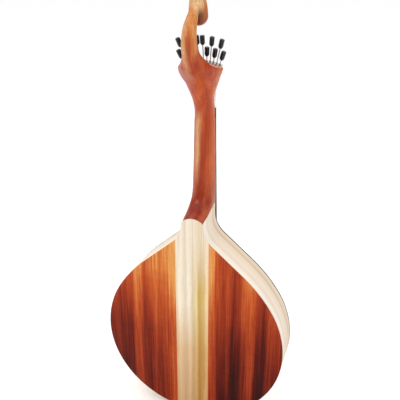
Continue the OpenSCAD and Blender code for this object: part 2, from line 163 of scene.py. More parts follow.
class Shade:
    """A Principled material and short calls that add nodes to it."""

    def __init__(self, name, roughness=0.5, metallic=0.0, coat=0.0, coat_rough=0.1, specular=0.5):
        self.mat = bpy.data.materials.new(name)
        self.mat.use_nodes = True
        self.tree = self.mat.node_tree
        self.bsdf = self.tree.nodes["Principled BSDF"]
        for socket, value in (("Roughness", roughness), ("Metallic", metallic), ("Coat Weight", coat),
                              ("Coat Roughness", coat_rough), ("Specular IOR Level", specular)):
            self.bsdf.inputs[socket].default_value = value
        self.coord = self.node("ShaderNodeTexCoord").outputs["Object"]

    def node(self, kind, **values):
        n = self.tree.nodes.new(kind)
        for key, value in values.items():
            setattr(n, key, value)
        return n

    def link(self, a, b):
        self.tree.links.new(a, b)

    def set(self, node, socket, value):
        if isinstance(value, bpy.types.NodeSocket):
            self.link(value, node.inputs[socket])
        else:
            node.inputs[socket].default_value = value

    def scaled(self, x, y, z, shift=(0, 0, 0)):
        n = self.node("ShaderNodeMapping")
        self.link(self.coord, n.inputs["Vector"])
        n.inputs["Scale"].default_value = (x, y, z)
        n.inputs["Location"].default_value = shift
        return n.outputs[0]

    def noise(self, vector, scale=1.0, detail=2.0, rough=0.5, distortion=0.0):
        n = self.node("ShaderNodeTexNoise")
        self.link(vector, n.inputs["Vector"])
        for socket, value in (("Scale", scale), ("Detail", detail), ("Roughness", rough),
                              ("Distortion", distortion)):
            n.inputs[socket].default_value = value
        return n.outputs["Fac"]

    def ramp(self, fac, stops, smooth="LINEAR"):
        n = self.node("ShaderNodeValToRGB")
        n.color_ramp.interpolation = smooth
        els = n.color_ramp.elements
        els[0].position, els[0].color = stops[0]
        els[1].position, els[1].color = stops[-1]
        for pos, col in stops[1:-1]:
            els.new(pos).color = col
        self.link(fac, n.inputs["Fac"])
        return n.outputs["Color"]

    def tones(self, fac, stops, smooth="LINEAR"):
        """A ramp whose stops are (place, red, green, blue) with 0 .. 255 colours."""
        return self.ramp(fac, [(place, srgb(*rgb)) for place, *rgb in stops], smooth)

    def wander(self, value, noise, amount):
        """Value moved either way by a noise around 0.5."""
        return self.math("ADD", value, self.math("MULTIPLY", self.math("SUBTRACT", noise, 0.5), amount))

    def grey(self, fac, lo, hi, v0=0.0, v1=1.0):
        """Fac between lo and hi mapped to v0 .. v1."""
        n = self.node("ShaderNodeMapRange")
        self.set(n, "Value", fac)
        for socket, value in (("From Min", lo), ("From Max", hi), ("To Min", v0), ("To Max", v1)):
            n.inputs[socket].default_value = value
        return n.outputs["Result"]

    def mix(self, fac, a, b, mode="MIX"):
        n = self.node("ShaderNodeMix", data_type="RGBA", blend_type=mode)
        self.set(n, 0, fac)
        self.set(n, 6, a)
        self.set(n, 7, b)
        return n.outputs[2]

    def math(self, op, a, b=0.0, c=0.0):
        n = self.node("ShaderNodeMath", operation=op)
        self.set(n, 0, a)
        self.set(n, 1, b)
        self.set(n, 2, c)
        return n.outputs[0]

    def axes(self):
        n = self.node("ShaderNodeSeparateXYZ")
        self.link(self.coord, n.inputs[0])
        return n.outputs

    def bump(self, height, strength, distance):
        n = self.node("ShaderNodeBump")
        n.inputs["Strength"].default_value = strength
        n.inputs["Distance"].default_value = distance
        self.link(height, n.inputs["Height"])
        return n.outputs[0]

    def finish(self, colour, rough, normal=None):
        self.set(self.bsdf, "Base Color", colour)
        self.set(self.bsdf, "Roughness", rough)
        if normal is not None:
            self.set(self.bsdf, "Normal", normal)
        return self.mat


def mahogany():
    """Red-brown carving wood, amber at the stem and drop, with short dark pores and a clear varnish, and with
    painted light and shade: a painted highlight streak on the shaft and stem, painted light on the drop's top
    and on the heel's side facets, and painted shade under the drop and in the hollow between stem and drop.
    """
    s = Shade("neck_mahogany", 0.36, coat=0.28, coat_rough=0.16, specular=0.12)
    figure = s.noise(s.scaled(42, 30, 5), 1.0, 3.0, 0.55, 0.6)
    fibre = s.noise(s.scaled(520, 420, 16), 1.0, 3.0, 0.6, 0.2)
    pores = s.noise(s.scaled(1500, 1300, 60), 1.0, 2.0, 0.5)
    warm = s.tones(figure, [(0.28, 150, 50, 18), (0.45, 178, 68, 26), (0.58, 198, 90, 36),
                            (0.72, 216, 122, 60)])
    light = s.tones(figure, [(0.28, 190, 98, 38), (0.5, 214, 136, 66), (0.72, 232, 178, 112)])
    # Tones for the painted light on the top of the drop
    cream = s.tones(figure, [(0.28, 212, 168, 110), (0.72, 236, 208, 160)])
    x, depth, height = s.axes()
    wavy = s.math("ADD", height, s.math("MULTIPLY", figure, 0.06))
    colour = s.mix(s.grey(wavy, 0.11, 0.17), warm, light)
    # Painted highlight: a pale amber streak just off the middle (+X side) of the shaft and of the stem,
    # standing in for the varnish's highlight
    across = s.wander(x, figure, 0.012)
    grain_streak_and_painted_highlight = s.grey(s.math("ABSOLUTE", s.math("SUBTRACT", across, 0.0055)), 0.009, 0.001)
    shaft = s.math("MULTIPLY", s.grey(height, -0.14, -0.09), s.grey(height, 0.0, -0.02))
    stem = s.math("MULTIPLY", s.grey(height, 0.05, 0.10), s.grey(height, 0.17, 0.14))
    pale = s.math("MULTIPLY", grain_streak_and_painted_highlight, s.math("ADD", shaft, stem))
    colour = s.mix(s.math("MULTIPLY", pale, 0.7), colour, srgb(236, 186, 130))
    # Painted light: the top of the drop turns cream, standing in for light falling from above
    colour = s.mix(s.grey(wavy, 0.195, 0.225), colour, cream)
    # Painted shade: the lower part of the drop, towards the stem, is darkened to red-brown
    painted_shade_under_drop = s.math("MULTIPLY", s.grey(depth, 0.068, 0.052), s.grey(height, 0.172, 0.146))
    painted_shade_under_drop = s.math("MULTIPLY", painted_shade_under_drop, s.grey(height, 0.125, 0.14))
    colour = s.mix(s.math("MULTIPLY", painted_shade_under_drop, 0.85), colour, srgb(150, 58, 22))
    # Painted shade: a dark brown patch in the hollow where the stem meets the drop
    painted_shade_hollow = s.math("MULTIPLY", s.grey(s.math("ABSOLUTE", s.math("SUBTRACT", depth, 0.054)), 0.012, 0.003),
                    s.grey(s.math("ABSOLUTE", s.math("SUBTRACT", height, 0.150)), 0.017, 0.006))
    colour = s.mix(s.math("MULTIPLY", painted_shade_hollow, 0.92), colour, srgb(70, 18, 6))
    colour = s.mix(s.grey(fibre, 0.3, 0.75, 0.0, 0.45), colour, srgb(150, 74, 44), "MULTIPLY")
    colour = s.mix(s.grey(pores, 0.6, 0.7, 0.0, 0.5), colour, srgb(84, 28, 12))
    # Painted light: paler patches on both sides of the heel, standing in for light on its carved facets
    sides = s.math("MULTIPLY", s.grey(s.math("ABSOLUTE", x), 0.009, 0.016), s.grey(height, -0.166, -0.180))
    colour = s.mix(s.math("MULTIPLY", sides, 0.6), colour, srgb(226, 140, 92))
    heel = s.grey(height, -0.19, -0.10, 0.85, 0.0)
    colour = s.mix(heel, colour, srgb(190, 130, 112), "MULTIPLY")
    return s.finish(colour, s.grey(fibre, 0.3, 0.7, 0.32, 0.46), s.bump(pores, 0.1, 0.0003))


def striped(name, bands, top, foot, seed):
    """Red wood in upright bands: brightness at places across the body, [x in mm, level], more at the top."""
    s = Shade(name, 0.42, coat=0.06, coat_rough=0.2, specular=0.06)
    warp = s.noise(s.scaled(9, 0, 2.4, (seed, 0, 0)), 1.0, 2.0, 0.5)
    ripple = s.noise(s.scaled(60, 0, 7, (seed, 0, 3)), 1.0, 2.0, 0.5)
    x = s.wander(s.math("ABSOLUTE", s.axes()[0]), warp, 0.016)
    x = s.wander(x, ripple, 0.005)
    left, right = bands[0][0], bands[-1][0]
    place = s.grey(x, left * MM, right * MM)
    level = s.ramp(place, [((mm - left) / (right - left), (v, v, v, 1)) for mm, v in bands], "EASE")
    level = s.math("MULTIPLY_ADD", level, 1.25, -0.13)
    z = s.axes()[2]
    level = s.math("ADD", level, s.grey(z, -0.43, -0.29, 0.0, top))
    level = s.math("ADD", level, s.grey(z, -0.43, -0.56, 0.0, foot))
    grain_streak_and_painted_highlight = s.noise(s.scaled(330, 10, 4.5, (seed, 0, 0)), 1.0, 4.0, 0.65, 0.1)
    level = s.math("ADD", level, s.grey(grain_streak_and_painted_highlight, 0.3, 0.7, -0.16, 0.14))
    broad = s.noise(s.scaled(70, 10, 6, (seed, 0, 7)), 1.0, 3.0, 0.6)
    level = s.math("ADD", level, s.grey(broad, 0.3, 0.7, -0.09, 0.09))
    curl = s.noise(s.scaled(30, 10, 160, (seed, 0, 5)), 1.0, 2.0, 0.5)
    level = s.math("ADD", level, s.grey(curl, 0.3, 0.7, -0.016, 0.016))
    colour = s.tones(level, [(0.0, 48, 8, 4), (0.15, 76, 16, 7), (0.3, 112, 30, 12),
                             (0.5, 152, 52, 22), (0.7, 186, 80, 34), (0.85, 208, 116, 56),
                             (1.0, 224, 156, 86)])
    fibre = s.noise(s.scaled(1500, 60, 26), 1.0, 2.0, 0.5)
    colour = s.mix(s.grey(fibre, 0.52, 0.72, 0.0, 0.4), colour, srgb(66, 20, 12))
    return s.finish(colour, s.grey(grain_streak_and_painted_highlight, 0.3, 0.7, 0.36, 0.48), s.bump(fibre, 0.05, 0.0002))


def pale_strip():
    """Cream wood with ochre streaks on one side of the middle, browner towards the tail."""
    s = Shade("pale_strip", 0.42, coat=0.15, coat_rough=0.2, specular=0.2)
    x, _, z = s.axes()
    warp = s.noise(s.scaled(14, 0, 3.4), 1.0, 3.0, 0.55)
    ragged = s.noise(s.scaled(90, 0, 26), 1.0, 3.0, 0.6)
    across = s.wander(x, warp, 0.012)
    across = s.wander(across, ragged, 0.008)
    place = s.grey(across, -0.034, 0.034)
    colour = s.tones(place, [(0.0, 226, 196, 146), (0.1, 232, 206, 160), (0.18, 206, 174, 108),
                             (0.3, 190, 156, 76), (0.38, 226, 204, 150), (0.46, 212, 194, 156),
                             (0.58, 238, 226, 206), (0.7, 220, 206, 182), (0.84, 240, 228, 206),
                             (1.0, 224, 200, 158)], "EASE")
    cream = s.grey(z, -0.33, -0.22, 0.0, 0.75)
    colour = s.mix(cream, colour, srgb(232, 218, 200))
    low = s.grey(z, -0.36, -0.46, 0.0, 0.75)
    colour = s.mix(low, colour, srgb(226, 188, 140), "MULTIPLY")
    foot = s.grey(z, -0.46, -0.60, 0.0, 0.5)
    colour = s.mix(foot, colour, srgb(222, 190, 160), "MULTIPLY")
    lines = s.noise(s.scaled(420, 0, 3), 1.0, 3.0, 0.6)
    colour = s.mix(s.grey(lines, 0.48, 0.7, 0.0, 0.4), colour, srgb(176, 146, 100))
    flecks = s.noise(s.scaled(1600, 60, 110), 1.0, 1.0, 0.5)
    colour = s.mix(s.grey(flecks, 0.66, 0.76, 0.0, 0.35), colour, srgb(150, 124, 88))
    return s.finish(colour, s.grey(lines, 0.3, 0.7, 0.36, 0.48), s.bump(flecks, 0.05, 0.0002))


def pale_rib():
    """Bent pale sides: the grain follows the rib, so the bands lie at fixed depths of the body."""
    s = Shade("pale_rib", 0.5, coat=0.1, coat_rough=0.25, specular=0.25)
    _, y, z = s.axes()
    warp = s.noise(s.scaled(7, 12, 7), 1.0, 2.0, 0.5)
    depth = s.wander(y, warp, 0.010)
    place = s.grey(depth, 0.0, 0.075)
    colour = s.tones(place, [(0.0, 224, 206, 184), (0.16, 222, 202, 178), (0.27, 206, 182, 152),
                             (0.34, 226, 208, 186), (0.6, 232, 216, 196), (0.72, 224, 206, 184),
                             (0.8, 236, 226, 212), (1.0, 240, 232, 220)], "EASE")
    lines = s.noise(s.scaled(6, 520, 6), 1.0, 3.0, 0.6)
    colour = s.mix(s.grey(lines, 0.5, 0.72, 0.0, 0.32), colour, srgb(198, 168, 132))
    flecks = s.noise(s.scaled(160, 1700, 160), 1.0, 1.0, 0.5)
    colour = s.mix(s.grey(flecks, 0.66, 0.78, 0.0, 0.3), colour, srgb(176, 146, 108))
    low = s.grey(z, -0.36, -0.50, 0.0, 0.6)
    colour = s.mix(low, colour, srgb(232, 206, 176), "MULTIPLY")
    return s.finish(colour, s.grey(lines, 0.3, 0.7, 0.42, 0.54), s.bump(flecks, 0.05, 0.0002))


def spruce(name, tint, axis=0):
    """Straight fine-lined softwood, its year rings across axis 0 (X) or 1 (Y)."""
    s = Shade(name, 0.5, coat=0.2, coat_rough=0.22)
    stretch = (1, 0.05, 0.02) if axis == 0 else (0.02, 1, 0.02)
    bend = s.noise(s.scaled(*(4 * k for k in stretch)), 1.0, 1.0, 0.5)
    coords = s.axes()
    across = s.math("ADD", coords[axis], s.math("MULTIPLY", bend, 0.004))
    wave = s.math("SINE", s.math("MULTIPLY", across, 2 * math.pi / 0.0017))
    uneven = s.noise(s.scaled(*(900 * k for k in stretch)), 1.0, 2.0, 0.5)
    line = s.math("MULTIPLY", s.grey(wave, 0.2, 1.0), uneven)
    broad = s.noise(s.scaled(*(45 * k for k in stretch)), 1.0, 2.0, 0.5)
    colour = s.tones(broad, [(0.3, *(c * 0.93 for c in tint)), (0.7, *tint)])
    colour = s.mix(s.grey(line, 0.1, 0.6, 0.0, 0.6), colour, srgb(188, 138, 82))
    silk = s.noise(s.scaled(60, 30, 500), 1.0, 2.0, 0.5)
    colour = s.mix(s.grey(silk, 0.5, 0.8, 0.0, 0.25), colour, srgb(250, 226, 180), "SCREEN")
    return s.finish(colour, s.grey(line, 0.0, 0.6, 0.44, 0.56), s.bump(line, 0.05, 0.0002))


def dark_hardwood():
    s = Shade("dark_hardwood", 0.45, coat=0.04, coat_rough=0.3, specular=0.2)
    broad = s.noise(s.scaled(160, 160, 5), 1.0, 3.0, 0.55, 0.3)
    colour = s.tones(broad, [(0.3, 28, 18, 15), (0.55, 44, 27, 20), (0.75, 66, 40, 28)])
    pores = s.noise(s.scaled(1700, 1500, 60), 1.0, 1.0, 0.5)
    colour = s.mix(s.grey(pores, 0.6, 0.72, 0.0, 0.7), colour, srgb(12, 8, 7))
    return s.finish(colour, s.grey(broad, 0.3, 0.7, 0.34, 0.5), s.bump(pores, 0.12, 0.0002))


def rosette_wood():
    """Inlaid ring of dark and light lozenges between thin pale circles."""
    s = Shade("rosette_inlay", 0.4, coat=0.3, coat_rough=0.2)
    x, _, z = s.axes()
    zc = s.math("SUBTRACT", z, (HOLE_V + TAIL_Z) * MM)
    r = s.math("SQRT", s.math("ADD", s.math("MULTIPLY", x, x), s.math("MULTIPLY", zc, zc)))
    turn = s.math("ARCTAN2", x, zc)
    teeth = s.math("PINGPONG", s.math("MULTIPLY", turn, 48 / math.pi), 1.0)
    middle, half = ROSETTE_MID_R * MM, 0.0022
    band = s.math("PINGPONG", s.math("DIVIDE", s.math("SUBTRACT", r, middle), half), 1.0)
    inside = s.math("LESS_THAN", s.math("ABSOLUTE", s.math("SUBTRACT", r, middle)), half)
    lozenge = s.math("MULTIPLY", s.math("GREATER_THAN", teeth, band), inside)
    rings = s.math("GREATER_THAN", s.math("SINE", s.math("MULTIPLY", r, 2 * math.pi / 0.0016)), 0.25)
    outer = s.math("MULTIPLY", rings, s.math("SUBTRACT", 1.0, inside))
    pale = s.math("MAXIMUM", lozenge, outer)
    mottle = s.noise(s.scaled(420, 420, 420), 1.0, 2.0, 0.5)
    dark = s.tones(mottle, [(0.3, 34, 20, 16), (0.7, 64, 36, 24)])
    light = s.tones(mottle, [(0.3, 214, 176, 120), (0.7, 240, 212, 164)])
    colour = s.mix(pale, dark, light)
    return s.finish(colour, s.grey(mottle, 0.3, 0.7, 0.36, 0.46), s.bump(mottle, 0.05, 0.0002))


def bone():
    s = Shade("bone", 0.32, coat=0.2, coat_rough=0.15)
    mottle = s.noise(s.scaled(260, 260, 90), 1.0, 3.0, 0.6)
    colour = s.tones(mottle, [(0.3, 226, 214, 186), (0.7, 246, 240, 224)])
    return s.finish(colour, s.grey(mottle, 0.3, 0.7, 0.26, 0.42), s.bump(mottle, 0.04, 0.0002))


def pearl():
    s = Shade("pearl", 0.2, coat=0.6, coat_rough=0.05)
    cloud = s.noise(s.scaled(500, 500, 340), 1.0, 2.0, 0.5, 1.6)
    colour = s.tones(cloud, [(0.3, 206, 222, 216), (0.45, 236, 232, 222),
                             (0.6, 224, 208, 220), (0.75, 244, 242, 232)])
    return s.finish(colour, s.grey(cloud, 0.3, 0.7, 0.15, 0.3))


def metal(name, colour, dull, scratch_scale=(900, 900, 30), rough=0.26):
    s = Shade(name, rough, metallic=1.0)
    scratch = s.noise(s.scaled(*scratch_scale), 1.0, 3.0, 0.6)
    cloud = s.noise(s.scaled(70, 70, 70), 1.0, 3.0, 0.6)
    shade = s.mix(s.grey(cloud, 0.35, 0.75, 0.0, 0.6), srgb(*colour), srgb(*dull))
    scratched = s.grey(scratch, 0.3, 0.7, rough - 0.08, rough + 0.1)
    uneven = s.math("ADD", scratched, s.grey(cloud, 0.4, 0.8, 0.0, 0.1))
    return s.finish(shade, uneven, s.bump(scratch, 0.05, 0.0001))


def wound():
    """Round-wound string: close turns across the string, silver over steel."""
    s = Shade("wound_string", 0.3, metallic=1.0)
    z = s.axes()[2]
    turns = s.math("SINE", s.math("MULTIPLY", z, 2 * math.pi / 0.00022))
    cloud = s.noise(s.scaled(120, 120, 60), 1.0, 2.0, 0.5)
    colour = s.mix(s.grey(cloud, 0.3, 0.7), srgb(206, 200, 188), srgb(178, 168, 150))
    return s.finish(colour, s.grey(cloud, 0.3, 0.7, 0.26, 0.38), s.bump(turns, 0.5, 0.00005))


def black_knob():
    s = Shade("black_knob", 0.22, coat=0.25, coat_rough=0.06, specular=0.25)
    grain = s.noise(s.scaled(1500, 1500, 1500), 1.0, 2.0, 0.5)
    rub = s.noise(s.scaled(160, 160, 160), 1.0, 3.0, 0.6)
    colour = s.mix(s.grey(rub, 0.5, 0.8), srgb(7, 7, 8), srgb(22, 21, 21))
    return s.finish(colour, s.grey(rub, 0.35, 0.75, 0.16, 0.34), s.bump(grain, 0.06, 0.0001))


# The wing at -X shows on the right of the back view
BANDS_MINUS = [(32, 0.68), (40, 0.62), (50, 0.42), (60, 0.34), (70, 0.38), (80, 0.24), (90, 0.28), (101, 0.5),
               (118, 0.58), (126, 0.3), (136, 0.24), (150, 0.46), (167, 0.4), (176, 0.36)]
BANDS_PLUS = [(32, 0.7), (44, 0.58), (54, 0.48), (62, 0.44), (77, 0.52), (86, 0.36), (95, 0.4), (108, 0.52),
              (116, 0.54), (126, 0.38), (142, 0.3), (160, 0.38), (176, 0.34)]

MATERIALS = {
    "neck": mahogany(),
    "wing_minus": striped("red_wing_minus", BANDS_MINUS, 0.3, -0.18, 1.7),
    "wing_plus": striped("red_wing_plus", BANDS_PLUS, 0.42, -0.1, 5.2),
    "strip": pale_strip(),
    "rib": pale_rib(),
    "spruce": spruce("spruce_top", (238, 206, 150)),
    "brace": spruce("spruce_brace", (226, 194, 144), 1),
    "dark": dark_hardwood(),
    "rosette": rosette_wood(),
    "bone": bone(),
    "pearl": pearl(),
    "nickel": metal("nickel_silver", (176, 172, 162), (140, 134, 124), rough=0.34),
    "brass": metal("brass", (206, 168, 92), (160, 120, 58)),
    "steel": metal("string_steel", (200, 202, 206), (160, 162, 166), (900, 900, 60), 0.22),
    "wound": wound(),
    "knob": black_knob(),
}
CAD_LOOKS = {
    "fingerboard": "dark", "frets": "nickel", "position_dots": "pearl", "nut": "bone", "rosette": "rosette",
    "linings": "brace", "tail_block": "neck", "soundboard_braces": "brace", "back_braces": "brace",
    "bridge": "dark", "saddle": "bone", "tailpiece": "nickel", "tailpiece_screws": "nickel",
    "fan_plate": "nickel", "fan_plate_screws": "brass", "neck": "neck", "soundboard": "spruce",
    "soundboard_binding": "dark", "back_center_strip": "strip", "back_wing_left": "wing_minus",
    "back_wing_right": "wing_plus", "rib_left": "rib", "rib_right": "rib", "strings": "steel",
}


def look(obj, key):
    obj.data.materials.clear()
    obj.data.materials.append(MATERIALS[key])


for number in range(1, SCREWS + 1):
    CAD_LOOKS[f"tuning_screw_{number:02d}"] = "steel"
    CAD_LOOKS[f"screw_knob_{number:02d}"] = "knob"
    CAD_LOOKS[f"string_hook_{number:02d}"] = "steel"
for node_name, key in CAD_LOOKS.items():
    look(NODES[node_name], key)

# ------------------------------------------------------------ mesh helpers

def piece(name, verts, faces, material, body="root", stands_for=(), slot=None, sharp=35, bevel=0.0):
    """A mesh from points in millimetres, riding on a body."""
    mesh = bpy.data.meshes.new(name)
    points = [tuple(MM * float(c) for c in v) for v in verts]
    mesh.from_pydata(points, [], [tuple(int(i) for i in f) for f in faces])
    mesh.validate()
    bm = bmesh.new()
    bm.from_mesh(mesh)
    bmesh.ops.recalc_face_normals(bm, faces=bm.faces)
    bm.to_mesh(mesh)
    bm.free()
    mesh.shade_smooth()
    mesh.set_sharp_from_angle(angle=math.radians(sharp))
    mesh.materials.append(MATERIALS[material])
    obj = bpy.data.objects.new(name, mesh)
    scene.collection.objects.link(obj)
    if bevel:
        soften(obj, bevel)
    if body:
        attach(obj, body)
    if stands_for:
        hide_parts(*stands_for)
    return obj


def soften(obj, width):
    """Rounded edges, width in millimetres."""
    mod = obj.modifiers.new("edges", "BEVEL")
    mod.width = width * MM
    mod.segments = 2
    mod.limit_method = "ANGLE"
    mod.angle_limit = math.radians(40)
    mod.harden_normals = False


def curve(x, stations):
    """Smooth monotone curve through (x, value) stations, flat outside them."""
    s = np.array(stations, float)
    xs, ys = s[:, 0], s[:, 1]
    d = np.diff(ys) / np.diff(xs)
    m = np.zeros(len(xs))
    m[1:-1] = np.where(d[:-1] * d[1:] > 0, 2 * d[:-1] * d[1:] / (d[:-1] + d[1:] + 1e-12), 0)
    m[0], m[-1] = d[0], d[-1]
    x = np.clip(x, xs[0], xs[-1])
    i = np.clip(np.searchsorted(xs, x) - 1, 0, len(xs) - 2)
    h = xs[i + 1] - xs[i]
    t = (x - xs[i]) / h
    return ((2 * t**3 - 3 * t**2 + 1) * ys[i] + (t**3 - 2 * t**2 + t) * h * m[i]
            + (3 * t**2 - 2 * t**3) * ys[i + 1] + (t**3 - t**2) * h * m[i + 1])


def grid_faces(rows, cols):
    """Quads of a grid of points, row by row, its columns closed into a ring."""
    out = []
    for i in range(rows - 1):
        for j in range(cols):
            a = i * cols + j
            b = i * cols + (j + 1) % cols
            out.append((a, b, b + cols, a + cols))
    return out


# ------------------------------------------------------------ body outline

R_BELLY = BODY_W / 2
RISE = 168.8
A_SHOULDER, A_STRAIGHT = math.radians(32.9), math.radians(49.6)
R_SHOULDER, L_SHOULDER, R_WAIST = 267.4, 74.7, 50.3


def direction(a):
    return np.array([math.cos(a), math.sin(a)])


C_SHOULDER = np.array([0, RISE]) + (R_BELLY - R_SHOULDER) * direction(A_SHOULDER)
P_STRAIGHT = C_SHOULDER + R_SHOULDER * direction(A_STRAIGHT)
P_WAIST = P_STRAIGHT + L_SHOULDER * np.array([-math.sin(A_STRAIGHT), math.cos(A_STRAIGHT)])
C_WAIST = P_WAIST + R_WAIST * direction(A_STRAIGHT)
WAIST_X = C_WAIST[0] - R_WAIST
HEEL_V = C_WAIST[1] + 2.6
HEEL_Z = TAIL_Z + HEEL_V
TIP_V = HEEL_V + 19
TONGUE = 9.5


def half_outline(step=2.0):
    """Half of the body outline from the tail to the top of the waist curve: [x, height above the tail]."""
    def arc(c, r, a0, a1):
        n = max(2, int(abs(a1 - a0) * r / step))
        return [np.array(c) + r * direction(a0 + (a1 - a0) * i / n) for i in range(1, n + 1)]
    n = int(R_BELLY * 1.57 / step)
    turns = [math.pi / 2 * i / n for i in range(n + 1)]
    low = [np.array([R_BELLY * math.sin(a), RISE * (1 - math.cos(a))]) for a in turns]
    pts = low + arc((0, RISE), R_BELLY, 0, A_SHOULDER) + arc(C_SHOULDER, R_SHOULDER, A_SHOULDER, A_STRAIGHT)
    m = int(L_SHOULDER / step)
    pts += [P_STRAIGHT + (P_WAIST - P_STRAIGHT) * i / m for i in range(1, m + 1)]
    pts += arc(C_WAIST, R_WAIST, math.pi + A_STRAIGHT, math.pi)
    return np.array(pts)


def inset(pts, d):
    """A half outline moved inwards by d."""
    t = np.zeros_like(pts)
    t[1:-1] = pts[2:] - pts[:-2]
    t[0], t[-1] = (1, 0), (0, 1)
    t /= np.linalg.norm(t, axis=1)[:, None]
    return pts + d * np.stack([-t[:, 1], t[:, 0]], 1)


def full_loop(half):
    """Both halves of an outline as one loop."""
    mirrored = (half * [-1, 1])[::-1]
    return np.concatenate([half, mirrored[:-1] if half[0][0] == 0 else mirrored])


def plate_piece(name, loops, y0, y1, material, **kw):
    """A flat plate between depths y0 and y1 with an outer loop and any holes."""
    verts, faces = [], []
    polys = [[Vector((p[0], p[1], 0)) for p in loop] for loop in loops]
    flat = [p for loop in loops for p in loop]
    n = len(flat)
    for y in (y0, y1):
        verts += [(p[0], y, TAIL_Z + p[1]) for p in flat]
    for tri in tessellate_polygon(polys):
        faces.append(tri)
        faces.append(tuple(i + n for i in reversed(tri)))
    start = 0
    for loop in loops:
        m = len(loop)
        faces += [(start + i, start + (i + 1) % m, n + start + (i + 1) % m, n + start + i) for i in range(m)]
        start += m
    return piece(name, verts, faces, material, **kw)


def circle(cx, cy, r, n):
    turns = [2 * math.pi * i / n for i in range(n)]
    return [(cx + r * math.cos(a), cy + r * math.sin(a)) for a in turns]


def crossing(half, x, from_top):
    """Index in a half outline where it passes x, counted from the tail or from the top."""
    inside = half[:, 0] > x
    idx = np.where(inside)[0]
    return idx[-1] if from_top else idx[0]


def cut_at(half, x, i, j):
    """Point on the outline between points i and j where it passes x."""
    a, b = half[i], half[j]
    t = (x - a[0]) / (b[0] - a[0])
    return a + t * (b - a)


def add_back():
    half = half_outline()
    lo, hi = crossing(half, STRIP_HALF, False), crossing(half, STRIP_HALF, True)
    p_low = cut_at(half, STRIP_HALF, lo - 1, lo)
    p_high = cut_at(half, STRIP_HALF, hi + 1, hi)
    seam = 0.06
    y0, y1 = BODY_DEPTH - PLATE_T, BODY_DEPTH
    wing = np.concatenate([[p_low], half[lo:hi + 1], [p_high]])
    wing = np.maximum(wing, [STRIP_HALF + seam, -1])
    for side, node, key in ((-1, "back_wing_left", "wing_minus"), (1, "back_wing_right", "wing_plus")):
        plate_piece("wing_" + ("left" if side < 0 else "right"), [wing * [side, 1]], y0, y1, key,
                    stands_for=[node], slot="red_wing_wood", bevel=0.35)
    r = (WAIST_X**2 + TONGUE**2) / (2 * TONGUE)
    a = math.asin(WAIST_X / r)
    turns = [a * (1 - i / 12) for i in range(13)]
    top = [(r * math.sin(b), HEEL_V + TONGUE - r + r * math.cos(b)) for b in turns]
    right = np.concatenate([half[:lo], [p_low, p_high], half[hi + 1:], top])
    plate_piece("center_strip", [full_loop(right[:-1])], y0, y1, "strip",
                stands_for=["back_center_strip"], slot="pale_strip_wood", bevel=0.35)


def add_top():
    half = np.concatenate([half_outline(), [(WAIST_X, HEEL_V)]])
    inner = inset(half, BINDING_W)
    hole = circle(0, HOLE_V, HOLE_R, 160)
    plate_piece("top_plate", [full_loop(inner), hole[::-1]], ROSETTE_T, PLATE_T, "spruce", slot="spruce",
                stands_for=["soundboard"])
    seam = 0.05
    ring_out = circle(0, HOLE_V, ROSETTE_MID_R + ROSETTE_HALF_W + seam, 200)
    ring_in = circle(0, HOLE_V, ROSETTE_MID_R - ROSETTE_HALF_W - seam, 160)
    plate_piece("top_face_outer", [full_loop(inner), ring_out[::-1]], 0, ROSETTE_T, "spruce", slot="spruce")
    plate_piece("top_face_inner", [ring_in, hole[::-1]], 0, ROSETTE_T, "spruce", slot="spruce", bevel=0.3)
    edge = np.concatenate([half, inner[::-1]])
    for side, word in ((-1, "left"), (1, "right")):
        plate_piece("binding_" + word, [edge * [side, 1]], 0, PLATE_T, "dark", slot="dark_hardwood",
                    stands_for=["soundboard_binding"], bevel=0.3)


def add_ribs():
    outer = half_outline()
    inner = inset(outer, RIB_T)
    m, point_rows = 25, 8
    straight = int(np.argmax(outer[:, 1]))
    heights = np.linspace(PLATE_T, BODY_DEPTH - PLATE_T, m)
    share = (heights - heights[0]) / (heights[-1] - heights[0])
    tips = HEEL_V + (TIP_V - HEEL_V) * (1 - share)
    lip = np.array([0.35] + [0] * (m - 2) + [0.35])
    verts = []

    def row(face, back, t=0.0):
        """Outer face from the front to the back plate, then the inner one back; t moves it to the tips."""
        for j, y in enumerate(heights):
            o = face + (back - face) * lip[j] / RIB_T
            verts.append((o[0], y, TAIL_Z + o[1] + (tips[j] - o[1]) * t))
        for j in range(m - 1, -1, -1):
            verts.append((back[0], heights[j], TAIL_Z + back[1] + (tips[j] - back[1]) * t))

    for i in range(straight + 1):
        row(outer[i], inner[i])
    for k in range(1, point_rows + 1):
        row(outer[straight], inner[straight], k / point_rows)
    rows, cols = straight + 1 + point_rows, 2 * m
    faces = grid_faces(rows, cols)
    for base in (0, (rows - 1) * cols):
        faces += [(base + j, base + j + 1, base + cols - 2 - j, base + cols - 1 - j) for j in range(m - 1)]
    verts = np.array(verts)
    for side, word in ((-1, "left"), (1, "right")):
        piece("side_" + word, verts * [side, 1, 1], faces, "rib", stands_for=["rib_" + word],
              slot="pale_rib_wood", sharp=50)


# ------------------------------------------------------------ neck, headstock, stem and teardrop

def blend_min(a, b, k):
    """The smaller of two fields, rounded where they meet over a width of k."""
    h = np.clip(0.5 + 0.5 * (b - a) / k, 0, 1)
    return b + (a - b) * h - k * h * (1 - h)


def blend_max(a, b, k):
    return -blend_min(-a, -b, k)


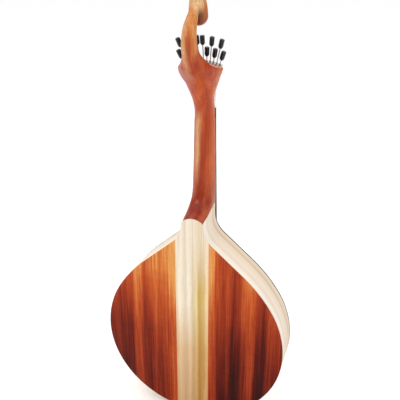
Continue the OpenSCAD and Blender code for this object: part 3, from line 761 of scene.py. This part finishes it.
def shaft_field(x, y, z):
    """Neck shaft and heel: a rounded back that turns square towards the body."""
    droop = TONGUE * np.clip(np.abs(x) / WAIST_X, 0, 1.2) ** 2 * np.clip((y - 30) / 45, 0, 1)
    zz = z + droop
    w = curve(z, [(-193.5, 21.4), (-175, 21.2), (-60, 19.4), (0, 18), (20, 17.6)])
    depth = curve(zz, [(-190, 90), (-186, 80), (-184, 73), (-181.5, 66), (-179, 59), (-175.5, 52),
                       (-171, 46.5), (-165, 41.6), (-157, 37.6), (-146, 34.8), (-128, 32.2), (-105, 29.6),
                       (-75, 27), (-45, 25.2), (-18, 24), (0, 24), (20, 26)])
    p = curve(zz, [(-193, 7), (-184, 6), (-178, 4.2), (-170, 2.9), (-160, 2.3), (-140, 2.05), (0, 2.05)])
    g = (np.abs(x) / w) ** p + (np.clip(y, 0, None) / depth) ** p
    f = (g ** (1 / p) - 1) * np.minimum(w, depth)
    f = blend_max(f, -y, 0.8)
    f = np.maximum(f, HEEL_Z - z)
    return np.maximum(f, y - (BODY_DEPTH - PLATE_T))


def face_place(s, h):
    """(y, z) of a point at s along the headstock's face and h behind it."""
    return s * math.sin(TILT) + h * math.cos(TILT), s * math.cos(TILT) - h * math.sin(TILT)


def head_field(x, y, z):
    """Headstock: a flat face, a rounded back that opens into a thin-edged fan, cut off by an arc."""
    s = y * math.sin(TILT) + z * math.cos(TILT)
    h = y * math.cos(TILT) - z * math.sin(TILT)
    w = curve(s, [(-25, 18), (6, 17.8), (20, 18.9), (36, 23.3), (49, 28.3), (60, 32.6), (70, 36.6),
                  (77, 39.2), (90, 43)])
    ridge = curve(s, [(-25, 20), (0, 23.8), (23, 26), (36, 28), (49, 30.5), (60, 33), (71, 36.5), (80, 40),
                      (95, 46)])
    edge = curve(s, [(-25, 3), (20, 3), (45, 3.8), (70, 5), (90, 5)])
    p = curve(s, [(-25, 0.5), (15, 0.5), (36, 0.54), (55, 0.7), (75, 1.1), (90, 1.5)])
    back = edge + (ridge - edge) * np.clip(1 - (x / w) ** 2, 0, 1) ** p
    slope = 1 / np.sqrt(1 + 0.5 * (ridge / w) ** 2)
    f = blend_max((h - back) * slope, np.abs(x) - w, 3)
    f = blend_max(f, -h, 1)
    f = blend_max(f, np.hypot(x, s - FAN_S) - FAN_R, 1.6)
    return blend_max(f, -s - 12, 1)


# Stem and teardrop are chains of balls, each [y, z, half width, half depth], the teardrop's round ones
# [y, z, radius]. The stem starts with the flare, [along the face, behind it, half width, half depth].
FLARE = [(72, 19, 28, 12), (80, 23.5, 30, 14), (87, 28.5, 27.5, 15), (93, 33, 23.8, 15.6),
         (99, 36.6, 20, 15.6), (106, 39.8, 16.8, 15.2), (114, 42, 14.4, 14.6)]
STEM = [face_place(s, h) + (w, d) for s, h, w, d in FLARE] + [
    (80, 110, 13.1, 13.4), (81.6, 119, 12.5, 12.4), (80.3, 130, 11.8, 11.4), (75.8, 141, 10.6, 10.4),
    (68.5, 150, 9.4, 9.6), (60, 158, 8.8, 9.2), (52, 165, 9, 9.6)]
DROP = [(36, 154.5, 15.6), (37.5, 163, 15.4), (39, 172, 14.4), (40, 181, 12.4), (40.5, 189, 9.4),
        (40, 196.5, 5.8), (39, 203, 2.4)]


def resample(pts, n):
    """n points at even steps on the smooth curve through pts."""
    pts = np.array(pts, float)
    d = np.concatenate([[0], np.cumsum(np.linalg.norm(np.diff(pts[:, :2], axis=0), axis=1))])
    t = np.linspace(0, d[-1], n)
    return np.stack([curve(t, list(zip(d, pts[:, k]))) for k in range(pts.shape[1])], axis=1)


def rod_field(x, y, z, pts, n):
    """Distance to a chain of n balls through pts."""
    best = np.full(x.shape, 1e9)
    for c in resample(pts, n):
        w, d = c[2], c[-1]
        q = np.sqrt((x / w) ** 2 + ((y - c[0]) ** 2 + (z - c[1]) ** 2) / d**2)
        best = np.minimum(best, (q - 1) * min(w, d))
    return best


def neck_field(x, y, z):
    """Below zero inside the neck: shaft, headstock, stem and teardrop, without the pockets of the ribs."""
    t = np.clip((z + 0.15 * y + 22) / 34, 0, 1)
    t = t * t * (3 - 2 * t)
    f = shaft_field(x, y, z) * (1 - t) + head_field(x, y, z) * t
    near = z > 30
    at = x[near], y[near], z[near]
    g = blend_min(f[near], rod_field(*at, STEM, 60), 14)
    drop = rod_field(*at, DROP, 30)
    crease = np.exp(-((at[1] - 53) ** 2 + (at[2] - 152) ** 2) / 40) * np.clip(1 - np.abs(at[0]) / 30, 0, 1)
    f[near] = blend_min(g, drop, 1.6) + 3.15 * crease
    tip_line = HEEL_Z + (TIP_V - HEEL_V) * np.clip(1 - (y - PLATE_T) / (BODY_DEPTH - 2 * PLATE_T), 0, 1)
    pocket = np.maximum(WAIST_X - RIB_T - np.abs(x), z - tip_line)
    return np.maximum(f, -pocket)


def surface_net(field, lo, hi, step):
    """Quads of the zero surface of a field, one point in each cell that it crosses."""
    n = [int(math.ceil((b - a) / step)) + 1 for a, b in zip(lo, hi)]
    grid = np.meshgrid(*[lo[i] + step * np.arange(n[i]) for i in range(3)], indexing="ij")
    v = field(*grid)
    inside = v < 0
    cells = [k - 1 for k in n]
    total, count = np.zeros(cells + [3]), np.zeros(cells)
    base = np.stack(np.meshgrid(*[np.arange(k) for k in cells], indexing="ij"), -1).astype(float)
    for axis in range(3):
        others = [a for a in range(3) if a != axis]
        for da in (0, 1):
            for db in (0, 1):
                near, far = [None] * 3, [None] * 3
                near[axis], far[axis] = slice(0, n[axis] - 1), slice(1, n[axis])
                for a, d in zip(others, (da, db)):
                    near[a] = far[a] = slice(d, n[a] - 1 + d)
                v0, v1 = v[tuple(near)], v[tuple(far)]
                cross = (v0 < 0) != (v1 < 0)
                p = np.zeros(v0.shape + (3,))
                p[..., axis] = np.where(cross, v0 / np.where(cross, v0 - v1, 1), 0)
                p[..., others[0]] = da
                p[..., others[1]] = db
                total += np.where(cross[..., None], p + base, 0)
                count += cross
    used = count > 0
    index = -np.ones(used.shape, int)
    index[used] = np.arange(used.sum())
    verts = total[used] / count[used][:, None] * step + np.array(lo)
    quads = []
    for axis in range(3):
        a, b = [(1, 2), (2, 0), (0, 1)][axis]
        near = [slice(1, k - 1) for k in n]
        far = [slice(1, k - 1) for k in n]
        near[axis], far[axis] = slice(0, n[axis] - 1), slice(1, n[axis])
        in0, in1 = inside[tuple(near)], inside[tuple(far)]
        change = in0 != in1
        shift = np.array([1, 1, 1])
        shift[axis] = 0
        cell = np.argwhere(change) + shift
        corner = []
        for da, db in ((1, 1), (0, 1), (0, 0), (1, 0)):
            j = cell.copy()
            j[:, a] -= da
            j[:, b] -= db
            corner.append(index[j[:, 0], j[:, 1], j[:, 2]])
        q = np.stack(corner, 1)
        q[in1[change]] = q[in1[change]][:, ::-1]
        quads.append(q)
    return verts, np.concatenate(quads)


def relaxed(verts, quads, free, rounds):
    """Points moved towards the middle of their neighbours and back out again, which keeps the volume."""
    a = quads.ravel()
    b = quads[:, [1, 2, 3, 0]].ravel()
    count = np.bincount(a, minlength=len(verts)) + np.bincount(b, minlength=len(verts))
    for amount in [0.5, -0.52] * rounds:
        total = [np.bincount(a, verts[b, k], len(verts)) + np.bincount(b, verts[a, k], len(verts))
                 for k in range(3)]
        mean = np.stack(total, 1) / count[:, None]
        verts = verts + amount * np.where(free[:, None], mean - verts, 0)
    return verts


def add_neck():
    step = 1.15
    verts, quads = surface_net(neck_field, (-40, -2, HEEL_Z - 2), (40, 98, 208), step)
    verts = np.clip(verts, (-100, 0, HEEL_Z), (100, 100, 300))
    free = (verts[:, 1] > 0.6) & (verts[:, 2] > HEEL_Z + 0.6)
    piece("neck_carving", relaxed(verts, quads, free, 4), quads, "neck", stands_for=["neck"],
          slot="neck_mahogany", sharp=60)
    half = WAIST_X - RIB_T - 0.2
    depth = BODY_DEPTH - PLATE_T
    corners = [(sx * half, y, HEEL_Z + z) for sx in (-1, 1) for y in (PLATE_T, depth) for z in (-26, 0)]
    box = [(0, 1, 3, 2), (4, 6, 7, 5), (0, 4, 5, 1), (2, 3, 7, 6), (0, 2, 6, 4), (1, 5, 7, 3)]
    piece("neck_block", corners, box, "neck", slot="neck_mahogany", bevel=1.5)


# ------------------------------------------------------------ fan tuner

def knob_radius(k):
    """Distance of a grip's end from the fan's centre, long and short by turns."""
    return 131 if math.floor(abs(k - (SCREWS - 1) / 2)) % 2 == 0 else 112


def on_ray(k, p):
    """A point of tuner k, [along the plate, away from it, out along the screw], in the model's frame."""
    side = -1 if k < SCREWS / 2 else 1
    a = math.radians(side * (2.2 + 3.75 * (abs(k - (SCREWS - 1) / 2) - 0.5)))
    x, y, z = p
    x, z = x * math.cos(a) + z * math.sin(a), -x * math.sin(a) + z * math.cos(a)
    y, z = y - AXIS_H, z + FAN_S
    c, s = math.cos(-TILT), math.sin(-TILT)
    return np.array([x, y * c - z * s, y * s + z * c])


def lathe(k, profile, turns, shape):
    """A turned piece about screw k from [radius, place] points; shape gives the radius at each angle."""
    verts = []
    for r, z in profile:
        for j in range(turns):
            a = 2 * math.pi * j / turns
            rr = shape(r, z, a)
            verts.append(on_ray(k, (rr * math.cos(a), rr * math.sin(a), z)))
    faces = grid_faces(len(profile), turns)
    last = (len(profile) - 1) * turns
    return verts, faces + [tuple(range(turns)), tuple(range(last + turns - 1, last - 1, -1))]


KNOB_R, KNOB_LEN = 4.1, 16


def add_knob(k):
    top = knob_radius(k)
    low = top - KNOB_LEN
    profile = [(1.05, low), (2.0, low), (2.4, low + 0.25), (3.4, low + 1.7), (KNOB_R - 0.18, low + 3)]
    profile += [(KNOB_R, low + 3.3 + 11.4 * i / 12) for i in range(13)]
    profile += [(KNOB_R - 0.18, top - 0.9), (KNOB_R - 0.1, top - 0.55), (KNOB_R - 0.6, top - 0.1),
                (KNOB_R - 1.1, top), (1.2, top), (1.0, top - 0.35), (0.02, top - 0.35)]

    def ribbed(r, z, a):
        return r * (1 - (0.028 * (0.5 + 0.5 * math.cos(18 * a)) if low + 3.2 < z < top - 1.1 else 0))

    verts, faces = lathe(k, profile, 108, ribbed)
    piece(f"knob_{k + 1:02d}", verts, faces, "knob", body=f"screw_{k + 1:02d}",
          stands_for=[f"screw_knob_{k + 1:02d}"], slot="black_knob", sharp=50)


def add_screw(k):
    """Screw with a thread between the two flanges, a collar and a plain shank."""
    lo, hi, top = 47.2, 87.2, knob_radius(k)
    turns, core, crest = 16, 0.96, 1.2
    steps = int((hi - lo) / THREAD_PITCH * 4)
    profile = [(0.6, 43), (1.0, 43.3), (1.0, lo)]
    profile += [(0, lo + (hi - lo) * i / steps) for i in range(1, steps)]
    profile += [(1.0, hi + 0.7), (1.7, hi + 0.85), (1.9, hi + 1.1), (1.9, hi + 2.1), (1.7, hi + 2.35),
                (0.9, hi + 2.4), (0.9, top - KNOB_LEN + 4)]

    def threaded(r, z, a):
        """The thread's radius where the profile leaves it at 0."""
        wave = abs(((z / THREAD_PITCH - a / (2 * math.pi)) % 1) - 0.5) * 2
        return r or core + (crest - core) * min(1, 1.6 * wave)

    verts, faces = lathe(k, profile, turns, threaded)
    name = f"{k + 1:02d}"
    piece(f"threaded_screw_{name}", verts, faces, "steel", body="screw_" + name,
          stands_for=["tuning_screw_" + name], slot="string_steel", sharp=50)


def tube(points, radius, sides=12):
    """A round rod along points, its radius a number or one for each point."""
    pts = [np.array(p, float) for p in points]
    radii = radius if hasattr(radius, "__len__") else [radius] * len(pts)
    verts = []
    side = None
    for i, p in enumerate(pts):
        t = pts[min(i + 1, len(pts) - 1)] - pts[max(i - 1, 0)]
        t /= np.linalg.norm(t)
        if side is None:
            side = np.cross(t, [1, 0, 0] if abs(t[0]) < 0.9 else [0, 1, 0])
        side = side - t * np.dot(side, t)
        side /= np.linalg.norm(side)
        up = np.cross(t, side)
        for j in range(sides):
            a = 2 * math.pi * j / sides
            verts.append(p + radii[i] * (math.cos(a) * side + math.sin(a) * up))
    faces = grid_faces(len(pts), sides)
    return verts, faces + [tuple(range(sides)), tuple(range(len(verts) - 1, len(verts) - sides - 1, -1))]


def joined(*parts):
    """Several (verts, faces) as one."""
    verts, faces = [], []
    for v, f in parts:
        n = len(verts)
        verts += list(v)
        faces += [tuple(i + n for i in q) for q in f]
    return verts, faces


def add_hook(k):
    """Threaded block with rounded corners and a bent wire hook that holds the string's loop."""
    name = f"{k + 1:02d}"
    half, y_top, y_low, z0, z1 = 1.6, AXIS_H - FLANGE_H + 0.1, AXIS_H - 1.15, 58.5, 65.5
    rim = []
    c = 0.5
    for x, y in ((half, y_top), (half, y_low), (-half, y_low), (-half, y_top)):
        sx, sy = math.copysign(c, x), c if y == y_top else -c
        pts = [(x, y + sy), (x - 0.3 * sx, y + 0.3 * sy), (x - sx, y)]
        rim += pts if (x > 0) == (y == y_low) else pts[::-1]
    bore_r = 1.25
    bore = [(bore_r * math.cos(math.atan2(y, x)), bore_r * math.sin(math.atan2(y, x))) for x, y in rim]
    rings = ((1, z0, bore), (0.94, z0, rim), (1, z0 + 0.3, rim),
             (1, z1 - 0.3, rim), (0.94, z1, rim), (1, z1, bore))
    n = len(rim)
    verts = [on_ray(k, (x * q, y * q, z)) for q, z, ring in rings for x, y in ring]
    faces = grid_faces(6, n) + [(5 * n + j, 5 * n + (j + 1) % n, (j + 1) % n, j) for j in range(n)]
    base = AXIS_H - FLANGE_H + 0.2
    tip = AXIS_H - 8.9
    bend = [(base, 0), (base - 0.9, 0), (tip + 1.4, 0.1), (tip + 0.95, 0.35), (tip + 0.72, 0.85),
            (tip + 0.7, 1.6), (tip + 0.7, 2.4)]
    wire = tube([on_ray(k, (0, y, POST_S + z)) for y, z in bend], [0.8, 0.8, 0.72, 0.68, 0.62, 0.58, 0.5])
    verts, faces = joined((verts, faces), wire)
    piece("hook_block_" + name, verts, faces, "steel", body="hook_" + name,
          stands_for=["string_hook_" + name], slot="string_steel", sharp=35)


# ------------------------------------------------------------ strings

STRING_R = [0.42, 0.2, 0.36, 0.16, 0.28, 0.13, 0.19, 0.19, 0.14, 0.14, 0.12, 0.12]
PIN_Z = TAIL_Z + 8
SADDLE_Z = -SCALE_LEN
WOUND_STRINGS = (0, 2, 4)
PIN_R = 1.1
EYE_GAP = 2.2
FINE_WIRE_R = 0.2


def spread(i, course, pair):
    """Place of string i across the neck, from the spacing of courses and of the two strings in one."""
    return (i // 2 - 2.5) * course + (i % 2 - 0.5) * pair


def string_x(i, z):
    """Place of string i across the neck at height z."""
    nut, saddle = spread(i, 5.6, 2), spread(i, 9.3, 2.6)
    return nut + (saddle - nut) * z / SADDLE_Z


def eye(centre, along, across, r, start_gap):
    """Points of a wire loop about a centre, starting and ending on the near side."""
    out = [centre - along * (r + start_gap)]
    for j in range(1, 24):
        a = 2 * math.pi * j / 24
        swell = min(1, 2.2 * math.sin(a / 2))
        out.append(centre - along * r * math.cos(a) + across * r * math.sin(a) * swell)
    return out + [centre - along * (r + start_gap) + across * 0.1]


def twist(a, b, r, turns):
    """Wire wound about the line from a to b."""
    a, b = np.array(a, float), np.array(b, float)
    t = (b - a) / np.linalg.norm(b - a)
    u = np.cross(t, [0, 1, 0])
    u /= np.linalg.norm(u)
    v = np.cross(t, u)
    n = turns * 9
    return [a + (b - a) * i / n + 1.9 * r * (u * math.cos(w) + v * math.sin(w))
            for i, w in ((i, 2 * math.pi * i / 9) for i in range(n + 1))]


def add_string(i):
    r = STRING_R[i]
    top = on_ray(i, (0, AXIS_H - STRING_HOOK_H, POST_S))
    toward_nut = np.array([string_x(i, 0), -NUT_H - r * 0.4, NUT_LEN - 1.5])
    pull = (top - toward_nut) / np.linalg.norm(top - toward_nut)
    post = on_ray(i, (0, -1, 0)) - on_ray(i, (0, 0, 0))
    beside = np.cross(post, pull)
    beside /= np.linalg.norm(beside)
    hook_end = top - pull * (0.75 + r + EYE_GAP)
    pin = np.array([string_x(i, PIN_Z), -4.2, PIN_Z])
    saddle = np.array([string_x(i, SADDLE_Z), -SADDLE_H - min(r * 0.4, STRING_R[0] - r), SADDLE_Z])
    rise = (saddle - pin) / np.linalg.norm(saddle - pin)
    pin_end = pin + rise * (PIN_R + r + EYE_GAP)
    over_saddle = [saddle + np.array([0, dy, dz])
                   for dy, dz in ((0.35, -1.4), (0.05, -0.6), (0, 0.4), (0, 1.4))]
    over_nut = [np.array([string_x(i, z), -NUT_H - r * 0.4 + dy, z])
                for dy, z in ((0, -1), (0, 1), (0, 3), (0.25, 4.6))]
    between = [saddle + (over_nut[0] - saddle) * j / 12 for j in range(1, 12)]
    main = tube([pin_end] + over_saddle + between + over_nut + [hook_end], r, 10)
    fine = min(r, FINE_WIRE_R)
    head_eye = tube(eye(top, pull, beside, 0.78 + fine, 1.6), fine, 8)
    tail_eye = tube(eye(pin, -rise, np.array([1.0, 0, 0]), PIN_R + fine + 0.05, 1.6), fine, 8)
    wraps = [tube(twist(hook_end, hook_end - pull * 5, 0.5 * (r + fine), 8), fine, 6),
             tube(twist(pin_end, pin_end + rise * 6, 0.5 * (r + fine), 9), fine, 6)]
    verts, faces = joined(main, head_eye, tail_eye, *wraps)
    look_of = "wound" if i in WOUND_STRINGS else "steel"
    obj = piece(f"string_{i + 1:02d}", verts, faces, look_of, body=None, sharp=50)
    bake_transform(obj)
    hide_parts("strings")


# ------------------------------------------------------------ nodes carried over from the CAD model

# Width of the rounded edges, in millimetres
SOFTENED = {"fingerboard": 0.5, "frets": 0.35, "nut": 0.4, "rosette": 0.05, "linings": 0.8, "tail_block": 1.5,
            "soundboard_braces": 1.5, "back_braces": 1.5, "bridge": 0.7, "saddle": 0.4, "tailpiece": 0.3,
            "tailpiece_screws": 0.25, "fan_plate": 0.2, "fan_plate_screws": 0.2, "position_dots": 0.0}


def finish_cad_nodes():
    for name, width in SOFTENED.items():
        node = NODES[name]
        node.data.shade_smooth()
        node.data.set_sharp_from_angle(angle=math.radians(32))
        if width:
            soften(node, width)


# ------------------------------------------------------------ the scene

add_camera()
add_floor()
add_backdrop(0.36, 1.0)
add_light("key", (1.1, 1.7, 1.2), (0, 0.05, -0.25), 0.8, 13, (1, 0.985, 0.96))
add_light("edge", (-1.5, 0.9, 0.5), (0, 0.05, -0.25), 0.9, 5)
add_light("front", (0.3, -1.8, 0.9), (0, 0.0, -0.25), 1.4, 11)
add_sky_lamp(2.2)

add_back()
add_top()
add_ribs()
add_neck()
finish_cad_nodes()
for tuner in range(SCREWS):
    add_knob(tuner)
    add_screw(tuner)
    add_hook(tuner)
    add_string(tuner)
